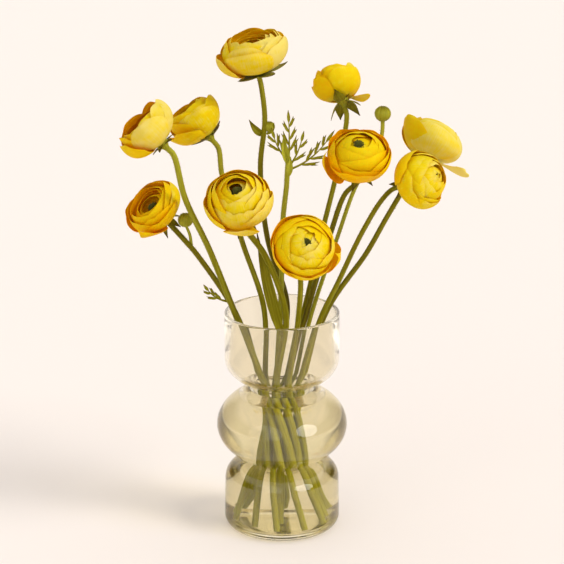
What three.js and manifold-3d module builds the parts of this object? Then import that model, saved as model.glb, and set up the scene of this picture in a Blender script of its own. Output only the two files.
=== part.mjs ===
// Ten yellow ranunculus flowers, a bud on its own stem and a leafy stem, standing in water in a three-tier glass vase.
// Units are millimetres, +Z is up, and the origin is the middle of the vase's foot, on the table.
import * as THREE from 'three';
import { mergeVertices } from 'three/addons/utils/BufferGeometryUtils.js';
import Module from 'manifold-3d';

const wasm = await Module();
wasm.setup();
const { degToRad, radToDeg, lerp, clamp } = THREE.MathUtils;

// Vase: a straight cup over a squat bulb over a straight base, with a tight waist between them.
const vaseHeight = 175;
const wall = 2.8;
const rimRound = 1.4;
const footRadius = 35.5;
const footCorner = 9.5;
const floorThickness = 6;
const baseRadius = 44.3;
const shoulderReach = 17;
const shoulderRise = 15;
const lowerWaist = 54.5;
const bulbRadius = 50.5;
const upperWaist = 113;
const waistRadius = 25;
const waistBlend = 7;
// Inside, the glass is thicker at a waist: the inner waist is this much deeper and further out per mm of wall.
const waistDepth = 1.4;
const waistDip = 0.4;
const neckRise = 4.5;
const neckStep = 0.5;
const cupRadius = 44.2;
const cupReach = 24;
const cupRise = 20.5;
const vaseSides = 28;

// Water, held clear of the glass and of each stem.
const waterLevel = 106;
const clearance = 0.3;
const holeRoom = 0.5;

// Stems: slim tubes, straight in the water and bending above it.
const stemSides = 6;
const stemSteps = 15;
const footLift = 1.2;
const neckHeight = 120;
const mouthHeight = 175;
const straightShare = 0.84;
const approach = 7;
// In the water the stems twist round each other like a hand-tied bunch: each foot is its neck point, turned and spread.
const bunchTwist = degToRad(120);
const bunchSpread = 2.05;

// Blooms: layers of cupped petals round a small core, sized as shares of the bloom's width.
const bladeThickness = 1.1;
const headCentre = 0.32;
const rootLift = -78;
const petalOverlap = 1.24;
const pinwheel = 0.1;
const cornerDrop = 17;
const looseDrop = 42;
const looseReach = 0.25;
const petalColumns = 4;
const layers = [
  { count: 5, radius: 0.47, rise: 0.29, base: 0, top: 22, rows: 3, turn: 0 },
  { count: 4, radius: 0.36, rise: 0.3, base: 0.035, top: 46, rows: 2, turn: 0.6 },
  { count: 3, radius: 0.26, rise: 0.28, base: 0.075, top: 58, rows: 2, turn: 0.2 },
];
const coreProfile = [[0, 0], [0.13, 0], [0.165, 0.3], [0.08, 0.47], [0, 0.47]];
const coreSides = 6;
const heartRadius = 0.075;
const heartShoulder = 1.5;
const heartHeight = 2.8;

// Under each bloom: a small green cup and five sepals.
const calyxDepth = 6;
const calyxRadius = 4.6;
const sepalCount = 5;
const sepalThickness = 0.9;
const sepalRoot = 2.4;
const sepalReach = 0.27;
const sepalRoom = 2;
const sepalHalfWidth = 3.1;

// Buds, as shares of their radius, and cut leaves: a thin rib with lobes from a third of the way up.
const budProfile = [[0, -1], [0.65, -0.8], [1, -0.1], [0.8, 0.6], [0, 1.3]];
const ribRadius = 0.9;
const ribSides = 5;
const ribSteps = 3;
const firstLobe = 0.34;
const lobeSpan = 0.6;
const lobeSlant = 0.5;
const lobeTaper = 0.45;
const lobeHalfWidth = 1.3;

// Each flower: bloom centre, the way it faces, its width, and where its stem crosses the vase's neck and mouth.
// loose turns the bloom, whose first petal falls open as far as open says, and tall stretches it. hang lets the
// sepals droop.
const flowers = [
  { head: [-21.8, 25.8, 374.6], facing: [-0.2, -0.12, 1], width: 56, tall: 1.1, loose: 3.3, open: 0.35, stem: 2.2,
    neck: [-4.5, 13], mouth: [4, 14], via: [[-11, 18, 227], [-16.4, 20, 283.6], [-13, 24, 320]] },
  { head: [-102, -26, 328], facing: [-0.68, -0.05, 0.73], width: 47.5, tall: 1.3, loose: 3.6, open: 0.2, stem: 2.5,
    neck: [-14, -8], mouth: [-35, -12], via: [[-54.9, -15.5, 229.1], [-72.4, -19, 269.9]] },
  { head: [-67.5, 29, 321.5], facing: [-0.6, 0.05, 0.78], width: 44.5, tall: 1.35, loose: 3.7, open: 0.3, stem: 2.2,
    neck: [-13, 9.5], mouth: [-14, 8], via: [[-30.6, 12, 227.3], [-45.6, 19, 277.5]] },
  { head: [-98, -4, 259.5], facing: [-0.55, -0.4, 0.73], width: 48.5, tall: 1, loose: 4, open: 0.6, stem: 2.3,
    neck: [-17, 0.5], mouth: [-36.5, 1], via: [[-64.5, 4, 218.5], [-73.7, 3, 230.2]] },
  { head: [-32, -42, 276], facing: [-0.1, -0.58, 0.8], width: 53, tall: 1.3, loose: 4.5, open: 0.5, stem: 2.6,
    neck: [-4, -11], mouth: [3, -13], via: [[-13, -19, 225.5]] },
  { head: [16.5, -55, 243.5], facing: [0.15, -0.85, 0.5], width: 51.5, tall: 1, loose: 6.05, open: 0.7, stem: 2.2,
    neck: [5.5, -14], mouth: [12, -27], via: [[14, -29, 207]] },
  { head: [56.5, -30, 306], facing: [0, -0.55, 0.83], width: 51.5, tall: 1.12, loose: 3.4, open: 0.4, stem: 2.2,
    neck: [5, -2], mouth: [19, -4], via: [[37.5, -5, 241], [47.4, -8, 270.1]] },
  { head: [41.5, 36, 347.5], facing: [-0.25, 0.5, 0.8], width: 41.5, tall: 1.28, loose: 6.1, open: 0.8, hang: 1,
    stem: 2.1, neck: [4.5, 14], mouth: [18, 14], via: [[32, 18, 237.9], [41.7, 22, 278.7]] },
  { head: [105, -27, 286.5], facing: [0.72, -0.55, 0.4], width: 45, tall: 1.3, loose: 2.5, open: 0.2, stem: 2.1,
    neck: [13.5, -8], mouth: [30, -13], via: [[41.9, -13, 200.7], [59.4, -15, 240.4], [74.2, -17, 267.3]] },
  { head: [116, 32.4, 304.5], facing: [0.4, 0.4, 0.82], width: 52, tall: 1.15, loose: 6, open: 1.2, stem: 2.2,
    neck: [16, 0.5], mouth: [35.5, 7], via: [[64.9, 15, 217.1], [81, 19, 245.7], [97.5, 20.5, 273]] },
];
const budStem = { tip: [75.5, 8, 323], facing: [0, 0, 1], neck: [10.5, 7.5], mouth: [24, 7],
  via: [[42.7, 9, 232.5], [56.4, 9, 272.4], [72.5, 8, 300]], stem: 1.7, bud: 6 };
const leafStem = { tip: [5, 10, 292], facing: [0.12, 0, 1], neck: [-4, 3], mouth: [-1, 6],
  via: [[0.8, 8.5, 245.7], [3.5, 9.5, 272.3]], stem: 2.2 };

const petalYellow = new THREE.MeshStandardMaterial({ color: 0xf2bf0b, roughness: 0.55, metalness: 0 });
const heartGreen = new THREE.MeshStandardMaterial({ color: 0x5c5a12, roughness: 0.7, metalness: 0 });
const stemGreen = new THREE.MeshStandardMaterial({ color: 0x7f8c1e, roughness: 0.5, metalness: 0 });
const glass = new THREE.MeshStandardMaterial({
  color: 0xe6d8bc, roughness: 0.05, metalness: 0, transparent: true, opacity: 0.35,
});
const water = new THREE.MeshStandardMaterial({
  color: 0xe9e6c8, roughness: 0.02, metalness: 0, transparent: true, opacity: 0.4,
});

const vector = (p) => new THREE.Vector3(...p);
const polar = (radius, angle, height) =>
  new THREE.Vector3(radius * Math.cos(angle), radius * Math.sin(angle), height);

// A closed solid from points and faces, turned the right way out.
function solidOf(points, faces) {
  const vertProperties = new Float32Array(points.flatMap((p) => [p.x, p.y, p.z]));
  const make = (corners) =>
    new wasm.Manifold(new wasm.Mesh({ numProp: 3, vertProperties, triVerts: new Uint32Array(corners.flat()) }));
  const made = make(faces);
  return made.volume() > 0 ? made : make(faces.map(([a, b, c]) => [a, c, b]));
}

// A three.js geometry as a solid: its shared vertices are merged and its collapsed faces dropped.
function solidFrom(geometry) {
  const bare = geometry.clone();
  bare.deleteAttribute('normal');
  bare.deleteAttribute('uv');
  const merged = mergeVertices(bare, 1e-3);
  const at = merged.attributes.position;
  const points = Array.from({ length: at.count }, (_, i) => new THREE.Vector3().fromBufferAttribute(at, i));
  const faces = [];
  for (let i = 0; i < merged.index.count; i += 3) {
    const [a, b, c] = merged.index.array.slice(i, i + 3);
    if (a !== b && b !== c && c !== a) faces.push([a, b, c]);
  }
  return solidOf(points, faces);
}

const join = (solids) => solids.reduce((whole, next) => whole.add(next));

// The largest body of a solid, without the scraps that a cut leaves.
const largestBody = (solid) => solid.decompose().sort((a, b) => b.volume() - a.volume())[0];

function meshOf(name, solid, material) {
  const { vertProperties, triVerts } = solid.getMesh();
  const geometry = new THREE.BufferGeometry();
  geometry.setAttribute('position', new THREE.BufferAttribute(new Float32Array(vertProperties), 3));
  geometry.setIndex(new THREE.BufferAttribute(new Uint32Array(triVerts), 1));
  geometry.computeVertexNormals();
  const mesh = new THREE.Mesh(geometry, material);
  mesh.name = name;
  return mesh;
}

// A body turned about its frame's Z axis, from a profile that starts and ends on that axis.
function turned(profile, sides, frame = new THREE.Matrix4()) {
  const points = profile.map(([radius, height]) => new THREE.Vector2(radius, height));
  return solidFrom(new THREE.LatheGeometry(points, sides).rotateX(Math.PI / 2).applyMatrix4(frame));
}

// A tube of one radius along a curve.
function tube(curve, radius, sides, steps) {
  const section = new THREE.Shape(new THREE.EllipseCurve(0, 0, radius, radius).getPoints(sides).slice(0, sides));
  return solidFrom(new THREE.ExtrudeGeometry(section, { steps, extrudePath: curve, bevelEnabled: false }));
}

// A leaf or petal: a curved sheet given thickness inside its outline and a thin edge all round. pointAt takes u across
// it, from -1 to 1, and v along it, from 0 to 1. Both faces are split along the same diagonals, and an end that has
// no width is a single point.
function blade(pointAt, columns, rows, thickness) {
  const step = 0.02;
  const front = [];
  const back = [];
  const points = [];
  const isPoint = (v) => pointAt(-1, v).distanceTo(pointAt(1, v)) < 1e-6;
  for (let j = 0; j <= rows; j++) {
    const v = j / rows;
    for (let i = 0; i <= columns; i++) {
      if (i > 0 && isPoint(v)) {
        front.push(front.at(-1));
        back.push(back.at(-1));
        continue;
      }
      const u = -1 + (2 * i) / columns;
      const middle = pointAt(u, v);
      const onEdge = i === 0 || i === columns || j === 0 || j === rows;
      const across = pointAt(u + step, v).sub(pointAt(u - step, v));
      const along = pointAt(u, v + step).sub(pointAt(u, v - step));
      const normal = across.cross(along).normalize().multiplyScalar(onEdge ? 0 : thickness / 2);
      front.push(points.push(middle.clone().add(normal)) - 1);
      back.push(onEdge ? points.length - 1 : points.push(middle.clone().sub(normal)) - 1);
    }
  }
  const faces = [];
  for (let j = 0; j < rows; j++) {
    for (let i = 0; i < columns; i++) {
      const a = j * (columns + 1) + i;
      const [b, c, d] = [a + 1, a + columns + 2, a + columns + 1];
      const cutsCorner = (i === columns - 1 && j === 0) || (i === 0 && j === rows - 1);
      const split = cutsCorner ? [[a, b, d], [b, c, d]] : [[a, b, c], [a, c, d]];
      for (const [p, q, r] of split) {
        const corners = [front[p], front[q], front[r]];
        if (new Set(corners).size === 3) faces.push(corners, [back[p], back[r], back[q]]);
      }
    }
  }
  return solidOf(points, faces);
}

const arc = (x, y, radiusX, radiusY, from, to, pieces) =>
  new THREE.EllipseCurve(x, y, radiusX, radiusY, degToRad(from), degToRad(to))
    .getPoints(pieces)
    .map((p) => [p.x, p.y]);

// The vase's outline from its foot's middle to its rim, moved inward by inset.
function vaseOutline(inset) {
  const bottom = inset > 0 ? floorThickness + inset - wall : 0;
  const corner = footCorner - inset;
  const waist = waistRadius - waistDepth * inset;
  const dip = waistDip * inset;
  const waistAngle = Math.acos(waistRadius / bulbRadius);
  const bulbRise = (upperWaist - lowerWaist) / 2 / Math.sin(waistAngle) - inset;
  const bulbEnd = radToDeg(waistAngle) - waistBlend;
  const neckTop = upperWaist + neckRise;
  const shoulder = [shoulderReach - inset, shoulderRise - inset];
  return [
    [0, bottom],
    ...arc(footRadius, bottom + corner, corner, corner, -90, 0, 2),
    ...arc(baseRadius - shoulderReach, lowerWaist - shoulderRise, ...shoulder, 0, 80, 3),
    [waist, lowerWaist - dip],
    ...arc(0, (lowerWaist + upperWaist) / 2, bulbRadius - inset, bulbRise, -bulbEnd, bulbEnd, 6),
    [waist, upperWaist + dip],
    [waist, neckTop + dip],
    ...arc(cupRadius - cupReach, neckTop + neckStep + cupRise, cupReach - inset, cupRise - inset, -76, 0, 3),
  ];
}

function vase() {
  const rim = arc(cupRadius - wall / 2, vaseHeight - rimRound, wall / 2, rimRound, 0, 180, 4);
  return turned([...vaseOutline(0), ...rim, ...vaseOutline(wall).reverse()], vaseSides);
}

// Where a stem runs: straight from its foot to the neck, then out through the mouth and bending into its tip.
function stemCurve({ neck, mouth, via, facing, tip }) {
  const foot = new THREE.Vector2(...neck).rotateAround(new THREE.Vector2(), bunchTwist).multiplyScalar(bunchSpread);
  const start = new THREE.Vector3(foot.x, foot.y, floorThickness + footLift);
  const atNeck = new THREE.Vector3(...neck, neckHeight);
  const atMouth = new THREE.Vector3(...mouth, mouthHeight);
  const end = vector(tip);
  const before = end.clone().addScaledVector(vector(facing).normalize(), -approach);
  const straight = [start, start.clone().lerp(atNeck, straightShare), atNeck];
  return new THREE.CatmullRomCurve3([...straight, atMouth, ...via.map(vector), before, end]);
}

// The straight hole in the water that a stem stands in.
function waterHole({ curve, radius }) {
  const [foot, above] = curve.points;
  const away = above.clone().sub(foot).normalize();
  const along = new THREE.LineCurve3(
    foot.clone().addScaledVector(away, -floorThickness),
    foot.clone().addScaledVector(away, 1.1 * waterLevel),
  );
  return tube(along, (radius + holeRoom) / Math.cos(Math.PI / stemSides), stemSides, 1);
}

function waterBody(stems) {
  const filled = turned([...vaseOutline(wall + clearance), [0, vaseHeight]], vaseSides);
  const below = turned([[0, 0], [bulbRadius, 0], [bulbRadius, waterLevel], [0, waterLevel]], vaseSides);
  return largestBody(stems.reduce((left, stem) => left.subtract(waterHole(stem)), filled.intersect(below)));
}

// A frame with Z along the way that a bloom faces and X as near to the vase's own X as it can be.
function facingFrame(origin, facing) {
  const z = vector(facing).normalize();
  const x = new THREE.Vector3(1, 0, 0).addScaledVector(z, -z.x).normalize();
  return new THREE.Matrix4().makeBasis(x, z.clone().cross(x), z).setPosition(origin);
}

// One cupped petal of a layer. open lets a loose petal fall away from the bloom.
function petal(layer, width, tall, turn, open) {
  const rise = layer.rise * width * tall;
  const halfAngle = Math.PI / layer.count;
  const pointAt = (u, v) => {
    const lift = degToRad(lerp(rootLift, layer.top - looseDrop * open - cornerDrop * u * u, v));
    const across = u * Math.sin((Math.PI / 2) * Math.min(1, 2 * v));
    const angle = turn + across * halfAngle * petalOverlap;
    const radius = layer.radius * width * Math.cos(lift) * (1 + pinwheel * across) * (1 + looseReach * open * v);
    return polar(radius, angle, layer.base * width + rise * (1 + Math.sin(lift)));
  };
  return blade(pointAt, petalColumns, layer.rows, bladeThickness);
}

function bloom({ width, tall, loose, open }) {
  const core = turned(coreProfile.map(([radius, height]) => [radius * width, height * width * tall]), coreSides);
  const petals = layers.flatMap((layer, depth) =>
    Array.from({ length: layer.count }, (_, i) => {
      const turn = loose + layer.turn + (i * 2 * Math.PI) / layer.count;
      return petal(layer, width, tall, turn, depth === 0 && i === 0 ? open : 0);
    }),
  );
  return join([core, ...petals]);
}

// The green eye of a bloom, seated on its core among the innermost petals.
function heart({ width, tall }) {
  const seat = coreProfile.at(-1)[1] * width * tall + clearance;
  const radius = heartRadius * width;
  return turned([[0, seat], [radius, seat], [0.85 * radius, seat + heartShoulder], [0, seat + heartHeight]], coreSides);
}

// The calyx under a bloom. Its sepals lie along the outer petals, or hang back round the stem.
function calyx({ width, tall, stem, hang = 0 }, frame) {
  const cup = turned(
    [[0, -calyxDepth], [stem, -calyxDepth], [calyxRadius, -clearance - 1], [calyxRadius, -clearance], [0, -clearance]],
    coreSides,
    frame,
  );
  const bowlRadius = layers[0].radius * width;
  const bowlRise = layers[0].rise * width * tall;
  const sepals = Array.from({ length: sepalCount }, (_, i) => {
    const turn = ((i + 0.5) * 2 * Math.PI) / sepalCount;
    const pointAt = (u, v) => {
      const out = sepalRoot + sepalReach * width * v * (1 - hang / 3);
      const bowl = bowlRise * (1 - Math.sqrt(1 - (out / bowlRadius) ** 2));
      const height = lerp(bowl, -calyxDepth * 2 * v, hang) - sepalRoom;
      const half = sepalHalfWidth * Math.sin(Math.PI * v);
      return polar(out, turn, height).add(polar(u * half, turn + Math.PI / 2, 0)).applyMatrix4(frame);
    };
    return blade(pointAt, 2, 2, sepalThickness);
  });
  return join([cup, ...sepals]);
}

// A pointed blade from root to tip, bowed by an offset at its middle.
function pointedBlade(root, tip, bow, halfWidth, rows = 2) {
  const spine = new THREE.QuadraticBezierCurve3(root, root.clone().lerp(tip, 0.5).add(bow), tip);
  const ahead = tip.clone().sub(root).normalize();
  const side = ahead.clone().cross(new THREE.Vector3(0, 1, 0)).normalize();
  const pointAt = (u, v) => {
    const inside = clamp(v, 0, 1);
    const half = halfWidth * Math.sin(Math.PI * inside);
    return spine.getPoint(inside).addScaledVector(side, u * half).addScaledVector(ahead, v - inside);
  };
  return blade(pointAt, 2, rows, sepalThickness);
}

// A round bud with its pointed green sepals closed over it.
function bud(radius, centre) {
  const frame = new THREE.Matrix4().setPosition(...centre);
  return turned(budProfile.map(([out, up]) => [out * radius, up * radius]), coreSides, frame);
}

// A cut leaf: a thin rib with narrow lobes to its two sides in turn, and one at its tip.
function frond(from, to, bow, lobes, lobeLength) {
  const rib = new THREE.QuadraticBezierCurve3(from, from.clone().lerp(to, 0.5).add(bow), to);
  const solids = [tube(rib, ribRadius, ribSides, ribSteps)];
  for (let i = 0; i < lobes; i++) {
    const share = firstLobe + (lobeSpan * i) / lobes;
    const root = rib.getPoint(share);
    const ahead = rib.getTangent(share);
    const aside = ahead.clone().cross(new THREE.Vector3(0, i % 2 ? 1 : -1, 0)).normalize();
    const reach = lobeLength * (1 - lobeTaper * share);
    const tip = root.clone().addScaledVector(ahead, reach).addScaledVector(aside, lobeSlant * reach);
    solids.push(pointedBlade(root.addScaledVector(ahead, -0.5), tip, ahead, lobeHalfWidth));
  }
  const end = to.clone().addScaledVector(rib.getTangent(1), lobeSlant * lobeLength);
  solids.push(pointedBlade(rib.getPoint(0.9), end, new THREE.Vector3(), lobeHalfWidth));
  return join(solids);
}

// What else grows on a stem, by flower number: a side bud with its bract, a cut leaf or a long strap leaf.
const growths = {
  1: () => [
    bud(4, [-9.5, 24.5, 314]),
    pointedBlade(vector([-13, 24, 308]), vector([-25, 22, 320]), vector([-2, 0, -3]), 2.8),
  ],
  4: () => [
    bud(5.6, [-73, -2, 248]),
    tube(new THREE.LineCurve3(vector([-69, 5, 226]), vector([-73, -2, 245])), 1.2, ribSides, 1),
    frond(vector([-42, 2, 182]), vector([-57, 2, 191.5]), vector([-2, 0, -3]), 3, 7),
  ],
  5: () => [pointedBlade(vector([2.5, -12.5, 150]), vector([-19, -15, 243]), vector([-3, 0, 0]), 4.5, 4)],
};

function leaves(tip) {
  const from = (x, y, z) => vector(tip).add(vector([x, y, z]));
  return [
    frond(from(0, 0, -2), from(-11, 2, 17), vector([-3, 0, 0]), 4, 9),
    frond(from(0, 0, -2), from(0, 0, 31), vector([1, 0, 0]), 4, 9),
    frond(from(0, 0, -8), from(30, -3, 17), vector([3, 0, -6]), 6, 10),
    frond(from(0, 0, -6), from(10, 3, 15), vector([2, 0, -2]), 2, 8),
    pointedBlade(from(0, 0, -5), from(-4, -3, 19), vector([-1, 0, 0]), 2.8),
  ];
}

const group = new THREE.Group();
const stems = [];

function addStem(name, route, grown) {
  const curve = stemCurve(route);
  stems.push({ curve, radius: route.stem });
  const whole = join([tube(curve, route.stem, stemSides, stemSteps), ...grown]);
  group.add(meshOf(name, largestBody(whole), stemGreen));
}

function addFlower(flower, number) {
  const facing = vector(flower.facing).normalize();
  const base = vector(flower.head).addScaledVector(facing, -headCentre * flower.width * flower.tall);
  const frame = facingFrame(base, flower.facing);
  const tip = base.clone().addScaledVector(facing, 1 - calyxDepth).toArray();
  const grown = number in growths ? growths[number]() : [];
  addStem(`stem_${number}`, { ...flower, tip }, [calyx(flower, frame), ...grown]);
  const head = new THREE.Group();
  head.applyMatrix4(frame);
  head.add(meshOf(`bloom_${number}`, bloom(flower), petalYellow), meshOf(`heart_${number}`, heart(flower), heartGreen));
  group.add(head);
}

flowers.forEach((flower, i) => addFlower(flower, i + 1));
addStem('bud_stem', budStem, [bud(budStem.bud, [budStem.tip[0], budStem.tip[1], budStem.tip[2] + 5])]);
addStem('leaf_stem', leafStem, leaves(leafStem.tip));
group.add(meshOf('water', waterBody(stems), water));
group.add(meshOf('vase', vase(), glass));

export default group;
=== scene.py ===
"""Ten yellow ranunculus flowers, a bud and a leafy stem in a three-tier amber glass vase.

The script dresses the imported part: lengths in it are millimetres, and the scene is in metres.
"""

import math

import bpy
import numpy as np
from bpy.props import FloatProperty, FloatVectorProperty, IntProperty, PointerProperty
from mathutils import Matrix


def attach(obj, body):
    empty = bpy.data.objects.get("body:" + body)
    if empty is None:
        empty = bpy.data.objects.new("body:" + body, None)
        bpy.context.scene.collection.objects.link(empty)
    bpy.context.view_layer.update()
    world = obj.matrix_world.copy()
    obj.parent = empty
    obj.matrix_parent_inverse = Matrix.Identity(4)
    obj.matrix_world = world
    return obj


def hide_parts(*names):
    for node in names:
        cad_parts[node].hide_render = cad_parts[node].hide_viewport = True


bl_info = {
    "name": "Ranunculus in a tiered glass vase",
    "version": (1, 0, 0),
    "blender": (4, 5, 0),
    "location": "3D View > Sidebar > Ranunculus",
    "description": "Makes a bouquet of ranunculus, petal by petal, with its vase, water and studio",
    "category": "Add Mesh",
}

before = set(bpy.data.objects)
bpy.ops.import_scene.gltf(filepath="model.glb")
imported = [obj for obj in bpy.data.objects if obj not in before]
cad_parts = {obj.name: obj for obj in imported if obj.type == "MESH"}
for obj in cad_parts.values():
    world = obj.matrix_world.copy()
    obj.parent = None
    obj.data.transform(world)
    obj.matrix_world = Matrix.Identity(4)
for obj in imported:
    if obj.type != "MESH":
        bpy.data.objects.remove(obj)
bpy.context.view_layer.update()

MM = 0.001
TAU = 2 * math.pi

# Vase, as in the part. The shoulder of its base and the foot of its cup are elliptical arcs, REACH wide and RISE high.
# At the waists the bulb's arc stops WAIST_BLEND degrees short, and inner walls are narrower by WAIST_DEPTH for each
# millimetre of wall, and higher or lower by WAIST_DIP.
VASE_HEIGHT = 175
WALL = 2.8
RIM_ROUND = 1.4
FOOT_RADIUS = 35.5
FOOT_CORNER = 9.5
FLOOR_THICKNESS = 6
BASE_RADIUS = 44.3
SHOULDER_REACH = 17
SHOULDER_RISE = 15
LOWER_WAIST = 54.5
BULB_RADIUS = 50.5
UPPER_WAIST = 113
WAIST_RADIUS = 25
WAIST_BLEND = 7
WAIST_DEPTH = 1.4
WAIST_DIP = 0.4
NECK_RISE = 4.5
CUP_RADIUS = 44.2
CUP_REACH = 24
CUP_RISE = 20.5
VASE_SIDES = 144
CURVE_PIECES = 8
# A turned outline starts and ends this near to the axis.
NEAR_AXIS = 0.001
# The water reaches a little into the glass, so that no air shows between the two.
WATER_BITE = 0.3
WATER_CREEP = 0.6
WATER_CREEP_WIDTH = 2.2

# Stems: where each runs, as in the part. From its foot a stem is straight for STRAIGHT_SHARE of the way to the neck.
# The feet lie as the stems do in the neck, but turned by BUNCH_TWIST and spread out BUNCH_SPREAD times. APPROACH
# is the length over which a stem turns to face the way that its flower does.
FOOT_LIFT = 1.2
NECK_HEIGHT = 120
MOUTH_HEIGHT = 175
STRAIGHT_SHARE = 0.84
APPROACH = 7
BUNCH_TWIST = math.radians(120)
BUNCH_SPREAD = 2.05
STEM_SIDES = 24
STEM_RINGS = 110
STEM_TAPER = 0.86
STEM_RIBS = 6
RIB_DEPTH = 0.035
TONE_IN_WATER = 0.26
HAIRS_PER_STEM = 700
HAIRS_PER_BUD = 400
HAIR_RADIUS = 0.07
HAIR_ROOT = 0.2
CALYX_DEPTH = 6
SEPAL_THICKNESS = 0.6
LEAF_THICKNESS = 0.5
# No two sepals of a flower hang alike.
SEPAL_HANGS = (1, 0.85, 1.05, 0.92, 0.8)

# Blooms. A bloom's foot lies HEAD_CENTRE of its height behind its centre. A petal starts ROOT_LIFT degrees below its
# belly, which stands PETAL_REACH of the bloom's width out. PINWHEEL lays its one side over its neighbour's other
# side, and CUPPING bends both its sides in.
HEAD_CENTRE = 0.32
ROOT_LIFT = -78
PINWHEEL = 0.035
CUPPING = 0.03
PETAL_REACH = 0.475
NOTCH_WIDTH = 0.14
# An edge has this share of the thickness that the rest of the petal or leaf has.
EDGE_SHARE = 0.22
SHARP_ANGLE = math.radians(62)
EYE_RADIUS = 0.06
CARPELS = 70
ANTHERS = 46
GOLDEN_ANGLE = math.pi * (3 - math.sqrt(5))

# Studio: the lamps' directions, and the width in degrees of what each shines through.
KEY_WAY = (0.85, -0.38, 0.78)
CLOTH_WAY = (0.68, -0.62, 0.42)
CLOTH_SOFTNESS = 38
SKY_SOFTNESS = 170
FILL_WAY = (-0.6, -1, 0.35)
FILL_SOFTNESS = 60
FLOOR_EDGE = 12
# The floor lies this far under the vase, so that the two faces aren't one.
FLOOR_DROP = 0.0002
# A lamp's ray crosses about so many walls of glass or water.
WALLS_CROSSED = 4

# A petal where its bloom or bud says nothing else. point and notch are how far its rim stands out or is cut in at
# one place, corner how far its corners are rounded off, short its length, curl how far its rim rolls outward, in
# millimetres, and fall how far it has fallen open, in degrees.
PLAIN_PETAL = dict(point=0.0, corner=0.14, notch=0.0, notch_at=0.1, short=1, curl=0.0, fall=0)

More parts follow.
